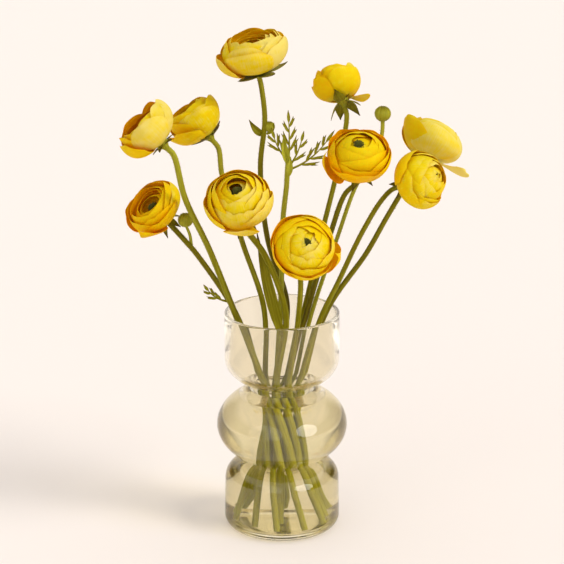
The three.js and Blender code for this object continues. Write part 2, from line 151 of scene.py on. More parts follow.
# The flowers. head, facing, width, tall, loose, stem, neck, mouth and via are the part's. The rest is how each looks.
# outer and inner are how far the outermost and the innermost petals close over, in degrees. core is how far out the
# innermost stand, and eye and crater are the radius and depth of the hollow in the middle: all three are shares of
# the bloom's width. sunk is how much lower the eye sits, in millimetres.
# wild is how uneven the outer petals are, slim how narrow, and lean how far those on the loose side hang out.
# odd changes single petals, counted from the outermost. It may set what PLAIN_PETAL has, and narrow and higher.
# tone is the colour from 0, cream, to 1, orange, of the outermost and innermost petals. The setting after it is how
# much deeper a petal's inner face is painted: painted shade, for the shade inside the cup. pale is the side, as an
# angle, where petals are painted lighter, and by how much: painted light, on the side that the key lamp lights.
# stem_tone is the stem's, from 0, light, to 1, brown, at the vase's mouth and at the flower.
# A sepal's reach is a share of the bloom's width, hang is how far it hangs back, and the one numbered up stands up.
FLOWERS = [
    dict(head=(-21.8, 25.8, 374.6), facing=(-0.2, -0.12, 1), width=56, tall=1.1, loose=3.3, stem=2.2,
         neck=(-4.5, 13), mouth=(4, 14), via=[(-11, 18, 227), (-16.4, 20, 283.6), (-13, 24, 320)],
         layers=7, outer=24, inner=58, core=0.26, eye=0.12, crater=0.16, sunk=3,
         wild=1.6, slim=0.85, odd={0: dict(fall=9)},
         tone=(0.2, 0.32), hollow_shade=0.3, pale=(5.9, 0.18), stem_tone=(0.85, 0.45),
         sepal=dict(reach=0.42, half=6, hang=0.24, tone=0.35, turn=0.22)),
    dict(head=(-102, -26, 328), facing=(-0.68, -0.05, 0.73), width=47.5, tall=1.3, loose=3.6, stem=2.5,
         neck=(-14, -8), mouth=(-35, -12), via=[(-54.9, -15.5, 229.1), (-72.4, -19, 269.9)],
         layers=6, outer=26, inner=50, core=0.3, eye=0.16, crater=0.3, sunk=8,
         wild=1.4, slim=0.85, odd={0: dict(fall=10), 2: dict(turn=6.42, top=14, point=0.2, higher=-2.5, narrow=0.75)},
         tone=(0.32, 0.75), hollow_shade=0.42, pale=(5.6, 0.3), stem_tone=(0.5, 0.2),
         sepal=dict(reach=0.2, half=2.6, hang=0.1, tone=0.6)),
    dict(head=(-67.5, 29, 321.5), facing=(-0.6, 0.05, 0.78), width=44.5, tall=1.35, loose=3.7, stem=2.2,
         neck=(-13, 9.5), mouth=(-14, 8), via=[(-30.6, 12, 227.3), (-45.6, 19, 277.5)],
         layers=5, outer=16, inner=55, core=0.27, eye=0.12, crater=0.14, sunk=5,
         wild=1.8, lean=7, odd={0: dict(fall=13, notch=0.12, ruffle=1.4, higher=2),
                                2: dict(higher=3.5, narrow=0.85, notch=0.07), 5: dict(higher=-3)},
         tone=(0.34, 0.45), hollow_shade=0.2, pale=(5.0, 0.05), stem_tone=(0.5, 0.3),
         sepal=dict(reach=0.3, half=2.6, hang=0.0, tone=0.75)),
    dict(head=(-98, -4, 259.5), facing=(-0.55, -0.4, 0.73), width=48.5, tall=1, loose=4, stem=2.3,
         neck=(-17, 0.5), mouth=(-36.5, 1), via=[(-64.5, 4, 218.5), (-73.7, 3, 230.2)],
         layers=5, outer=16, inner=52, core=0.26, eye=0.13, crater=0.18, sunk=0,
         wild=1.6, lean=6, odd={0: dict(turn=4.5, fall=13, top=-4, point=0.45, narrow=0.6)},
         tone=(0.5, 0.62), hollow_shade=0.2, pale=(0.6, 0.12), stem_tone=(0.65, 0.6),
         sepal=dict(reach=0.24, half=2.8, hang=0.75, tone=0.7)),
    dict(head=(-32, -42, 276), facing=(-0.1, -0.58, 0.8), width=53, tall=1.3, loose=4.5, stem=2.6,
         neck=(-4, -11), mouth=(3, -13), via=[(-13, -19, 225.5)],
         layers=6, outer=18, inner=71, core=0.27, eye=0.04, crater=0.08, sunk=-0.5,
         wild=1.8, odd={0: dict(turn=4.72, fall=12, corner=0.5, narrow=0.6)},
         tone=(0.36, 0.42), hollow_shade=0.12, pale=(5.3, 0.2), stem_tone=(0.5, 0.5),
         sepal=dict(reach=0.26, half=2.8, hang=0.8, tone=0.7)),
    dict(head=(16.5, -55, 243.5), facing=(0.15, -0.85, 0.5), width=51.5, tall=1, loose=6.05, stem=2.2,
         neck=(5.5, -14), mouth=(12, -27), via=[(14, -29, 207)],
         layers=6, outer=20, inner=84, core=0.28, eye=0.04, crater=0.05, sunk=-2,
         wild=1.3, odd={0: dict(fall=20, point=0.4, narrow=0.6)},
         tone=(0.5, 0.3), hollow_shade=0.12, pale=(5.6, 0.1), stem_tone=(0.5, 0.5),
         sepal=dict(reach=0.24, half=3, hang=0.3, tone=0.4)),
    dict(head=(56.5, -30, 306), facing=(0, -0.55, 0.83), width=51.5, tall=1.12, loose=3.4, stem=2.2,
         neck=(5, -2), mouth=(19, -4), via=[(37.5, -5, 241), (47.4, -8, 270.1)],
         layers=6, outer=10, inner=83, core=0.28, eye=0.03, crater=0.04, sunk=-3,
         wild=2.2, odd={0: dict(fall=10, point=0.4, narrow=0.6), 1: dict(ruffle=1.6, corner=0.1)},
         tone=(0.56, 0.45), hollow_shade=0.12, pale=(5.6, 0.05), stem_tone=(0.8, 0.6),
         sepal=dict(reach=0.26, half=2.8, hang=0.6, tone=0.7)),
    dict(head=(41.5, 36, 347.5), facing=(-0.25, 0.5, 0.8), width=41.5, tall=1.28, loose=6.1, stem=2.1,
         neck=(4.5, 14), mouth=(18, 14), via=[(32, 18, 237.9), (41.7, 22, 278.7)],
         layers=6, outer=14, inner=66, core=0.28, eye=0.10, crater=0.1, sunk=0,
         wild=2.2, slim=0.75, odd={0: dict(fall=38, narrow=0.6, short=0.64)},
         tone=(0.5, 0.5), hollow_shade=0.2, pale=(5.9, 0.2), stem_tone=(0.55, 0.4),
         sepal=dict(reach=0.36, half=4.6, hang=0.85, tone=0.5, up=3)),
    dict(head=(105, -27, 286.5), facing=(0.72, -0.55, 0.4), width=45, tall=1.3, loose=2.5, stem=2.1,
         neck=(13.5, -8), mouth=(30, -13), via=[(41.9, -13, 200.7), (59.4, -15, 240.4), (74.2, -17, 267.3)],
         layers=6, outer=24, inner=86, core=0.26, eye=0.02, crater=0.03, sunk=0,
         wild=2, odd={0: dict(fall=5)},
         tone=(0.38, 0.28), hollow_shade=0.1, pale=(0.8, 0.05), stem_tone=(0.5, 0.5),
         sepal=dict(reach=0.2, half=2.4, hang=0.4, tone=0.7)),
    dict(head=(116, 32.4, 304.5), facing=(0.4, 0.4, 0.82), width=52, tall=1.15, loose=6.0, stem=2.2,
         neck=(16, 0.5), mouth=(35.5, 7), via=[(64.9, 15, 217.1), (81, 19, 245.7), (97.5, 20.5, 273)],
         layers=6, outer=24, inner=62, core=0.3, eye=0.10, crater=0.12, sunk=3,
         wild=2.1, lean=8,
         odd={0: dict(turn=5.9, radius=36, height=6, top=5, fall=8, narrow=0.36, curl=0, point=0.1)},
         tone=(0.34, 0.4), hollow_shade=0.16, pale=(5.9, 0.42), stem_tone=(0.65, 0.6),
         sepal=dict(reach=0.2, half=2.4, hang=0.2, tone=0.6)),
]
BUD_STEM = dict(stem_tone=(0.3, 0.1), tip=(75.5, 8, 323), facing=(0, 0, 1), neck=(10.5, 7.5), mouth=(24, 7),
                via=[(42.7, 9, 232.5), (56.4, 9, 272.4), (72.5, 8, 300)], stem=1.7, bud=6)
LEAF_STEM = dict(stem_tone=(0.3, 0.1), tip=(5, 10, 292), facing=(0.12, 0, 1), neck=(-4, 3), mouth=(-1, 6),
                 via=[(0.8, 8.5, 245.7), (3.5, 9.5, 272.3)], stem=2.2)


def linear(hex_colour):
    """An sRGB hex value as linear red, green and blue."""
    channels = [int(hex_colour[i:i + 2], 16) / 255 for i in (0, 2, 4)]
    return tuple(c / 12.92 if c <= 0.04045 else ((c + 0.055) / 1.055) ** 2.4 for c in channels)


def solid(colour):
    """A colour of the settings with the alpha that a node's socket wants."""
    return (*colour[:3], 1.0)


def add_node(tree, kind, settings=None, inputs=None):
    """Adds a node with its settings, and gives each of the inputs, by name or number, a value or a link."""
    node = tree.nodes.new(kind)
    for name, value in (settings or {}).items():
        setattr(node, name, value)
    for name, value in (inputs or {}).items():
        if isinstance(value, bpy.types.NodeSocket):
            tree.links.new(value, node.inputs[name])
        else:
            node.inputs[name].default_value = value
    return node


def empty_material(name):
    """A material with no nodes but its output."""
    material = bpy.data.materials.new(name)
    material.use_nodes = True
    material.node_tree.nodes.clear()
    return material, material.node_tree


def finish_material(tree, shader):
    """Joins the surface's last shader to the material's output."""
    add_node(tree, "ShaderNodeOutputMaterial", inputs={"Surface": shader})


def graded_colour(tree, depth, palest, steps):
    """A colour that deepens from the palest through each step, which has its start, its end and its colour."""
    colour = solid(palest)
    for low, high, richer in steps:
        share = add_node(tree, "ShaderNodeMapRange", inputs={"Value": depth, "From Min": low, "From Max": high})
        colour = add_node(tree, "ShaderNodeMix", {"data_type": "RGBA"}, {
            0: share.outputs["Result"], 6: colour, 7: solid(richer)}).outputs[2]
    return colour


# Materials.


def fresh_ranunculus_petal(colours):
    """Ranunculus petal, grown thin and satiny: light comes through it, and fine veins fan out along it."""
    material, tree = empty_material("fresh_ranunculus_petal")
    tone = add_node(tree, "ShaderNodeAttribute", {"attribute_name": "tone"}).outputs["Fac"]
    along = add_node(tree, "ShaderNodeAttribute", {"attribute_name": "along"}).outputs["Fac"]
    grain = add_node(tree, "ShaderNodeUVMap", {"uv_map": "grain"}).outputs["UV"]
    # Veins lie about 0.8 mm apart and run 25 mm: the grain's unit is 10 mm.
    stretched = add_node(tree, "ShaderNodeMapping", inputs={"Vector": grain, "Scale": (12, 0.4, 1)})
    veins = add_node(tree, "ShaderNodeTexNoise", inputs={
        "Vector": stretched.outputs["Vector"], "Scale": 1.0, "Detail": 2.0, "Roughness": 0.5})
    # Soft blotches about 8 mm across.
    blotches = add_node(tree, "ShaderNodeTexNoise", inputs={"Vector": grain, "Scale": 1.3, "Detail": 1.0})
    veined = add_node(tree, "ShaderNodeMapRange", inputs={
        "Value": veins.outputs["Fac"], "From Min": 0.3, "From Max": 0.7, "To Min": -0.07, "To Max": 0.07})
    mottled = add_node(tree, "ShaderNodeMapRange", inputs={
        "Value": blotches.outputs["Fac"], "From Min": 0.3, "From Max": 0.7, "To Min": -0.08, "To Max": 0.08})
    # The rim is thinner and paler.
    rim = add_node(tree, "ShaderNodeMapRange", inputs={
        "Value": along, "From Min": 0.84, "From Max": 1.0, "To Min": 0.0, "To Max": -0.12})
    depth = tone
    for change in (veined, mottled, rim):
        depth = add_node(tree, "ShaderNodeMath", {"operation": "ADD"}, {
            0: depth, 1: change.outputs["Result"]}).outputs["Value"]
    colour = graded_colour(tree, depth, colours.petal_pale, (
        (0.0, 0.28, colours.petal_lemon), (0.28, 0.65, colours.petal_gold), (0.65, 1.0, colours.petal_orange)))
    root = add_node(tree, "ShaderNodeMapRange", inputs={
        "Value": along, "From Min": 0.0, "From Max": 0.3, "To Min": 0.6, "To Max": 0.0})
    greened = add_node(tree, "ShaderNodeMix", {"data_type": "RGBA"}, {
        0: root.outputs["Result"], 6: colour, 7: solid(colours.petal_root)}).outputs[2]
    bump = add_node(tree, "ShaderNodeBump", inputs={
        "Height": veins.outputs["Fac"], "Strength": 0.35, "Distance": 0.3 * MM})
    face = add_node(tree, "ShaderNodeBsdfPrincipled", inputs={
        "Base Color": greened, "Normal": bump.outputs["Normal"], "Roughness": 0.5, "Specular IOR Level": 0.05})
    # Light that has come through a petal is a deeper yellow than light off its face.
    deeper = add_node(tree, "ShaderNodeGamma", inputs={"Color": greened, "Gamma": 1.4})
    through = add_node(tree, "ShaderNodeBsdfTranslucent", inputs={
        "Color": deeper.outputs["Color"], "Normal": bump.outputs["Normal"]})
    petal = add_node(tree, "ShaderNodeMixShader", inputs={
        0: 0.33, 1: face.outputs["BSDF"], 2: through.outputs["BSDF"]})
    finish_material(tree, petal.outputs["Shader"])
    return material


def ribbed_green_stem(colours):
    """Ranunculus stem, sepal and leaf, grown with fine ribs and short hairs: satin, with streaks along it."""
    material, tree = empty_material("ribbed_green_stem")
    tone = add_node(tree, "ShaderNodeAttribute", {"attribute_name": "tone"}).outputs["Fac"]
    along = add_node(tree, "ShaderNodeAttribute", {"attribute_name": "along"}).outputs["Fac"]
    grain = add_node(tree, "ShaderNodeUVMap", {"uv_map": "grain"}).outputs["UV"]
    # Ribs lie about 1 mm apart and run 30 mm.
    stretched = add_node(tree, "ShaderNodeMapping", inputs={"Vector": grain, "Scale": (10, 0.33, 1)})
    ribs = add_node(tree, "ShaderNodeTexNoise", inputs={
        "Vector": stretched.outputs["Vector"], "Scale": 1.0, "Detail": 3.0})
    streaks = add_node(tree, "ShaderNodeMapRange", inputs={
        "Value": ribs.outputs["Fac"], "From Min": 0.3, "From Max": 0.7, "To Min": -0.18, "To Max": 0.18})
    streaked = add_node(tree, "ShaderNodeMath", {"operation": "ADD"}, {0: tone, 1: streaks.outputs["Result"]})
    # A leaf or sepal browns towards its tip.
    browning = add_node(tree, "ShaderNodeMapRange", inputs={
        "Value": along, "From Min": 0.65, "From Max": 1.0, "To Min": 0.0, "To Max": 0.45})
    depth = add_node(tree, "ShaderNodeMath", {"operation": "ADD"}, {
        0: streaked.outputs["Value"], 1: browning.outputs["Result"]}).outputs["Value"]
    colour = graded_colour(tree, depth, colours.stem_light, (
        (0.0, 0.5, colours.stem_green), (0.5, 1.0, colours.stem_brown)))
    bump = add_node(tree, "ShaderNodeBump", inputs={
        "Height": ribs.outputs["Fac"], "Strength": 0.4, "Distance": 0.3 * MM})
    skin = add_node(tree, "ShaderNodeBsdfPrincipled", inputs={
        "Base Color": colour, "Normal": bump.outputs["Normal"], "Roughness": 0.5,
        "Specular IOR Level": 0.08, "Sheen Weight": 0.01, "Sheen Roughness": 0.5,
        "Subsurface Weight": 0.15, "Subsurface Radius": (0.6, 1.0, 0.2), "Subsurface Scale": MM})
    finish_material(tree, skin.outputs["BSDF"])
    return material


def packed_carpels(colours):
    """The eye of a ranunculus, grown as packed green carpels in a ring of dark anthers: matt and grainy."""
    material, tree = empty_material("packed_carpels")
    tone = add_node(tree, "ShaderNodeAttribute", {"attribute_name": "tone"}).outputs["Fac"]
    place = add_node(tree, "ShaderNodeTexCoord").outputs["Object"]
    # Pollen and pits about 0.5 mm across.
    grains = add_node(tree, "ShaderNodeTexNoise", inputs={"Vector": place, "Scale": 2 / MM, "Detail": 2.0})
    mixed = add_node(tree, "ShaderNodeMix", {"data_type": "RGBA"}, {
        0: tone, 6: solid(colours.eye_green), 7: solid(colours.eye_brown)})
    shade = add_node(tree, "ShaderNodeMapRange", inputs={
        "Value": grains.outputs["Fac"], "From Min": 0.3, "From Max": 0.7, "To Min": 0.7, "To Max": 1.2})
    grained = add_node(tree, "ShaderNodeMix", {"data_type": "RGBA", "blend_type": "MULTIPLY"}, {
        0: 1.0, 6: mixed.outputs[2], 7: shade.outputs["Result"]})
    skin = add_node(tree, "ShaderNodeBsdfPrincipled", inputs={
        "Base Color": grained.outputs[2], "Roughness": 0.75})
    finish_material(tree, skin.outputs["BSDF"])
    return material


def let_light_through(tree, shader, tint):
    """Clear glass or water that lamps shine through, each wall of it taking its part of the tint."""
    path = add_node(tree, "ShaderNodeLightPath")
    part = solid([channel ** (1 / WALLS_CROSSED) for channel in tint[:3]])
    clear = add_node(tree, "ShaderNodeBsdfTransparent", inputs={"Color": part})
    return add_node(tree, "ShaderNodeMixShader", inputs={
        0: path.outputs["Is Shadow Ray"], 1: shader, 2: clear.outputs["BSDF"]}).outputs["Shader"]


def blown_amber_glass(colours):
    """Soda-lime glass, blown in a mould and tinted a pale champagne: clear, with bright edges and slight waves."""
    material, tree = empty_material("blown_amber_glass")
    tint = solid(colours.glass_tint)
    place = add_node(tree, "ShaderNodeTexCoord").outputs["Object"]
    # The mould leaves waves some 30 mm long and a few hundredths deep.
    waves = add_node(tree, "ShaderNodeTexNoise", inputs={"Vector": place, "Scale": 33.0, "Detail": 0.0})
    bump = add_node(tree, "ShaderNodeBump", inputs={
        "Height": waves.outputs["Fac"], "Strength": 0.25, "Distance": 0.4 * MM})
    glass = add_node(tree, "ShaderNodeBsdfPrincipled", inputs={
        "Base Color": tint, "Normal": bump.outputs["Normal"], "Roughness": 0.0, "IOR": 1.5,
        "Transmission Weight": 1.0})
    finish_material(tree, let_light_through(tree, glass.outputs["BSDF"], tint))
    return material


def still_tap_water(colours):
    """Tap water, still and faintly tinged by the stems: clear, and a lens wherever the glass bulges."""
    material, tree = empty_material("still_tap_water")
    tint = solid(colours.water_tint)
    water = add_node(tree, "ShaderNodeBsdfPrincipled", inputs={
        "Base Color": tint, "Roughness": 0.0, "IOR": 1.333, "Transmission Weight": 1.0})
    finish_material(tree, let_light_through(tree, water.outputs["BSDF"], tint))
    return material


def matt_painted_floor(colours):
    """Emulsion paint, rolled on a studio floor: matt cream, with a grain that only shows as a faint unevenness."""
    material, tree = empty_material("matt_painted_floor")
    place = add_node(tree, "ShaderNodeTexCoord").outputs["Object"]
    grain = add_node(tree, "ShaderNodeTexNoise", inputs={"Vector": place, "Scale": 400.0, "Detail": 2.0})
    bump = add_node(tree, "ShaderNodeBump", inputs={
        "Height": grain.outputs["Fac"], "Strength": 0.05, "Distance": 0.2 * MM})
    paint = add_node(tree, "ShaderNodeBsdfPrincipled", inputs={
        "Base Color": solid(colours.floor), "Normal": bump.outputs["Normal"], "Roughness": 0.9,
        "Specular IOR Level": 0.1})
    finish_material(tree, paint.outputs["BSDF"])
    return material


# Shapes.


def unit(vector):
    """The vector, or each row of vectors, at length 1."""
    vector = np.asarray(vector, float)
    return vector / np.linalg.norm(vector, axis=-1, keepdims=True)


def facing_frame(origin, facing):
    """An origin and three axes, as the part has: Z the way a bloom faces, X as near to the vase's X as it can be."""
    z = unit(facing)
    x = unit(np.array([1.0, 0, 0]) - z * z[0])
    return np.asarray(origin, float), np.stack([x, np.cross(z, x), z])


def placed(points, place):
    """Points given in a place's own frame, in the frame of the vase."""
    origin, axes = place
    return origin + points @ axes


def grid_quads(rows, columns, wrap=False):
    """The quads of a grid of points, and where each corner lies in the grid's texture coordinates."""
    r, c = np.meshgrid(np.arange(rows - 1), np.arange(columns if wrap else columns - 1), indexing="ij")
    r, c = r.ravel(), c.ravel()
    corner_r = np.stack([r, r, r + 1, r + 1], 1)
    corner_c = np.stack([c, c + 1, c + 1, c], 1)
    quads = corner_r * columns + corner_c % columns
    return quads, corner_r * (columns + 1 if wrap else columns) + corner_c


class Growth:
    """The points and faces of one piece, gathered shape by shape, with the values that its material reads."""

    def __init__(self):
        self.points = []
        self.tones = []
        self.alongs = []
        self.corners = []
        self.sizes = []
        self.grains = []
        self.count = 0

    def add(self, points, faces, grain, tone, along):
        """faces and grain are lists of arrays of like faces: their corners, and each corner's texture place."""
        points = np.asarray(points, float).reshape(-1, 3)
        for group, places in zip(faces, grain):
            self.corners.append((group + self.count).ravel())
            self.sizes.append(np.full(len(group), group.shape[1]))
            self.grains.append(places.reshape(-1, 2))
        self.points.append(points)
        self.tones.append(np.broadcast_to(tone, len(points)))
        self.alongs.append(np.broadcast_to(along, len(points)))
        self.count += len(points)

    def add_sheet(self, sheet, thickness, grain, tone, along):
        """A thin petal or leaf from the grid of its middle surface: closed, and thinner towards its edge.

        tone is one value, or a pair for its outer and inner face.
        """
        rows, columns = sheet.shape[:2]
        normal = unit(np.cross(np.gradient(sheet, axis=1), np.gradient(sheet, axis=0)) + 1e-12)
        half = np.full((rows, columns, 1), thickness / 2)
        half[0], half[-1], half[:, 0], half[:, -1] = [thickness * EDGE_SHARE] * 4
        number = np.arange(rows * columns).reshape(rows, columns)
        border = np.concatenate([number[0, :-1], number[:-1, -1], number[-1, :0:-1], number[:0:-1, 0]])
        following = np.roll(border, -1)
        under = rows * columns
        quads, places = grid_quads(rows, columns)
        edge = np.stack([border, border + under, following + under, following], 1)
        edge_places = np.stack([border, border, following, following], 1)
        flat = grain.reshape(-1, 2)
        self.add(np.concatenate([(sheet + normal * half).reshape(-1, 3), (sheet - normal * half).reshape(-1, 3)]),
                 [quads, quads[:, ::-1] + under, edge],
                 [flat[places], flat[places[:, ::-1]], flat[edge_places]],
                 np.repeat(np.broadcast_to(tone, 2), rows * columns), np.tile(along.ravel(), 2))

    def add_tube(self, path, radii, sides, tone, ridges=0, ridge_depth=0.0):
        """A round stem along a path, with a radius for each point of it, and flat ends."""
        rings = len(path)
        tangents = unit(np.gradient(path, axis=0))
        side = unit(np.cross(tangents[0], [0.0, 1.0, 0.1]))
        turn = np.arange(sides) * TAU / sides
        wave = 1 + ridge_depth * np.cos(ridges * turn)
        points = np.zeros((rings, sides, 3))
        for i, tangent in enumerate(tangents):
            side = unit(side - tangent * (side @ tangent))
            other = np.cross(tangent, side)
            ring = np.cos(turn)[:, None] * side + np.sin(turn)[:, None] * other
            points[i] = path[i] + ring * (radii[i] * wave)[:, None]
        length = np.concatenate([[0], np.cumsum(np.linalg.norm(np.diff(path, axis=0), axis=1))])
        round_it = np.linspace(0, TAU * np.max(radii), sides + 1)
        grain = np.stack(np.meshgrid(round_it, length), -1).reshape(-1, 2) / 10
        quads, places = grid_quads(rings, sides, wrap=True)
        ends = np.stack([np.arange(sides)[::-1], np.arange(sides) + (rings - 1) * sides])
        self.add(points, [quads, ends], [grain[places], np.zeros((2, sides, 2))], tone, 0.5)

    def add_hairs(self, feet, ways, lengths, tone):
        """Short stiff hairs: each a thin three-sided spike from its foot."""
        side = unit(np.cross(ways, [0.3, 0.2, 0.9]))
        other = np.cross(ways, side)
        turn = np.arange(3) * TAU / 3
        ring = np.cos(turn)[:, None] * side[:, None] + np.sin(turn)[:, None] * other[:, None]
        base = feet[:, None] - HAIR_ROOT * ways[:, None] + HAIR_RADIUS * ring
        points = np.concatenate([base, (feet + ways * lengths[:, None])[:, None]], 1)
        first = 4 * np.arange(len(feet))[:, None, None]
        faces = (first + np.array([[0, 1, 3], [1, 2, 3], [2, 0, 3], [2, 1, 0]])).reshape(-1, 3)
        self.add(points, [faces], [np.zeros((len(faces), 3, 2))], tone, 0.5)

    def make(self, name, material, nodes):
        """The finished piece: a smooth mesh that rides on the part and stands for its nodes."""
        corners, sizes = np.concatenate(self.corners), np.concatenate(self.sizes)
        mesh = bpy.data.meshes.new(name)
        mesh.vertices.add(self.count)
        mesh.vertices.foreach_set("co", (np.concatenate(self.points) * MM).ravel())
        mesh.loops.add(len(corners))
        mesh.loops.foreach_set("vertex_index", corners)
        mesh.polygons.add(len(sizes))
        mesh.polygons.foreach_set("loop_start", np.concatenate([[0], np.cumsum(sizes)[:-1]]))
        mesh.update(calc_edges=True)
        grain = mesh.uv_layers.new(name="grain")
        grain.uv.foreach_set("vector", np.concatenate(self.grains).ravel())
        for label, values in (("tone", self.tones), ("along", self.alongs)):
            layer = mesh.attributes.new(label, "FLOAT", "POINT")
            layer.data.foreach_set("value", np.concatenate(values))
        mesh.validate()
        mesh.set_sharp_from_angle(angle=SHARP_ANGLE)
        piece = bpy.data.objects.new(name, mesh)
        bpy.context.scene.collection.objects.link(piece)
        mesh.materials.append(material)
        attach(piece, "root")
        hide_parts(*nodes)
        return piece


def smooth_path(points, count):
    """Evenly spaced points on the part's curve through the given ones, a centripetal Catmull-Rom spline."""
    points = np.asarray(points, float)
    padded = np.concatenate([[2 * points[0] - points[1]], points, [2 * points[-1] - points[-2]]])
    pieces = []
    for p0, p1, p2, p3 in zip(padded, padded[1:], padded[2:], padded[3:]):
        gaps = [np.linalg.norm(b - a) ** 0.5 for a, b in ((p0, p1), (p1, p2), (p2, p3))]
        start = ((p1 - p0) / gaps[0] - (p2 - p0) / (gaps[0] + gaps[1]) + (p2 - p1) / gaps[1]) * gaps[1]
        end = ((p2 - p1) / gaps[1] - (p3 - p1) / (gaps[1] + gaps[2]) + (p3 - p2) / gaps[2]) * gaps[1]
        t = np.linspace(0, 1, 40, endpoint=False)[:, None]
        pieces.append(p1 + start * t + (3 * (p2 - p1) - 2 * start - end) * t ** 2
                      + (2 * (p1 - p2) + start + end) * t ** 3)
    fine = np.concatenate([*pieces, [points[-1]]])
    run = np.concatenate([[0], np.cumsum(np.linalg.norm(np.diff(fine, axis=0), axis=1))])
    spaced = np.linspace(0, run[-1], count)
    return np.stack([np.interp(spaced, run, fine[:, axis]) for axis in range(3)], 1)


def stem_path(route, tip):
    """The way that a stem runs, from its foot in the water through the neck and mouth to its tip."""
    cos, sin = math.cos(BUNCH_TWIST), math.sin(BUNCH_TWIST)
    x, y = route["neck"]
    start = np.array([(x * cos - y * sin) * BUNCH_SPREAD, (x * sin + y * cos) * BUNCH_SPREAD,
                      FLOOR_THICKNESS + FOOT_LIFT])
    neck = np.array([x, y, NECK_HEIGHT])
    below = start + (neck - start) * STRAIGHT_SHARE
    mouth = (*route["mouth"], MOUTH_HEIGHT)
    before = np.asarray(tip) - unit(route["facing"]) * APPROACH
    return smooth_path([start, below, neck, mouth, *route["via"], before, tip], STEM_RINGS)


def petal_sheet(petal, columns, rows):
    """The middle surface of one cupped petal in its bloom's frame, with its grain and its place along the petal.

    The petal rises from near the bloom's foot, out round its belly and in again to its rim.
    """
    petal = {**PLAIN_PETAL, **petal}
    u = np.linspace(-1, 1, columns + 1)[None, :]
    v = np.linspace(0, 1, rows + 1)[:, None]
    top = math.radians(petal["top"])
    root = math.radians(ROOT_LIFT)
    rise = (petal["height"] - petal["base"]) / (1 + math.sin(top))
    point = petal["point"]
    reach = 1 - petal["corner"] * np.abs(u) ** 3 + point * (1 - np.abs(u)) ** 2
    reach = reach - petal["notch"] * np.exp(-((u - petal["notch_at"]) / NOTCH_WIDTH) ** 2)
    along = v * reach * petal["short"]
    # A petal is narrow at its foot, and where its rim comes to a point.
    across = u * np.clip(np.sin(np.minimum(1, 1.8 * v) * math.pi / 2), 0.1, 1) ** 0.8
    across = across * (1 - point * 0.9 * np.clip(along - 0.5, 0, 1) * 2)
    lift = root + (top - root) * along
    rim = np.clip((along - 0.6) / 0.4, 0, 1.3)
    ripple = petal["ruffle"] * rim ** 2
    phase = petal["phase"]
    # One side lies over its neighbour and the other under, and the rim is waved.
    radius = petal["radius"] * np.cos(lift)
    radius = radius * (1 + PINWHEEL * across - CUPPING * across ** 2)
    radius = radius + ripple * np.sin(petal["waves"] * u + phase)
    radius = radius + 0.5 * ripple * np.sin(2.4 * petal["waves"] * u + 2.3 * phase)
    radius = radius + petal["curl"] * rim ** 2
    radius = radius + petal["swell"] * np.sin(2.3 * u + 1.7 * phase) * np.sin(math.pi * along)
    height = petal["base"] + rise * (1 + np.sin(lift))
    height = height + 0.8 * ripple * np.cos(0.8 * petal["waves"] * u + 2 * phase)
    height = height - 0.5 * abs(petal["curl"]) * rim ** 2
    # A fallen petal swings out about its foot.
    fall = math.radians(petal["fall"]) * np.sin(np.minimum(1, 1.6 * along) * math.pi / 2)
    out, up = radius, height - petal["base"]
    radius = out * np.cos(fall) + up * np.sin(fall)
    height = petal["base"] + up * np.cos(fall) - out * np.sin(fall)
    angle = petal["turn"] + across * petal["half"] * (1 - 0.12 * rim)
    sheet = np.stack([radius * np.cos(angle), radius * np.sin(angle), height + 0 * u], -1)
    grain = np.stack([across * petal["half"] * petal["radius"] + 0 * v,
                      along * (rise * 2 + petal["radius"] * 0.8)], -1) / 10 + petal["phase"]
    return sheet, grain, along


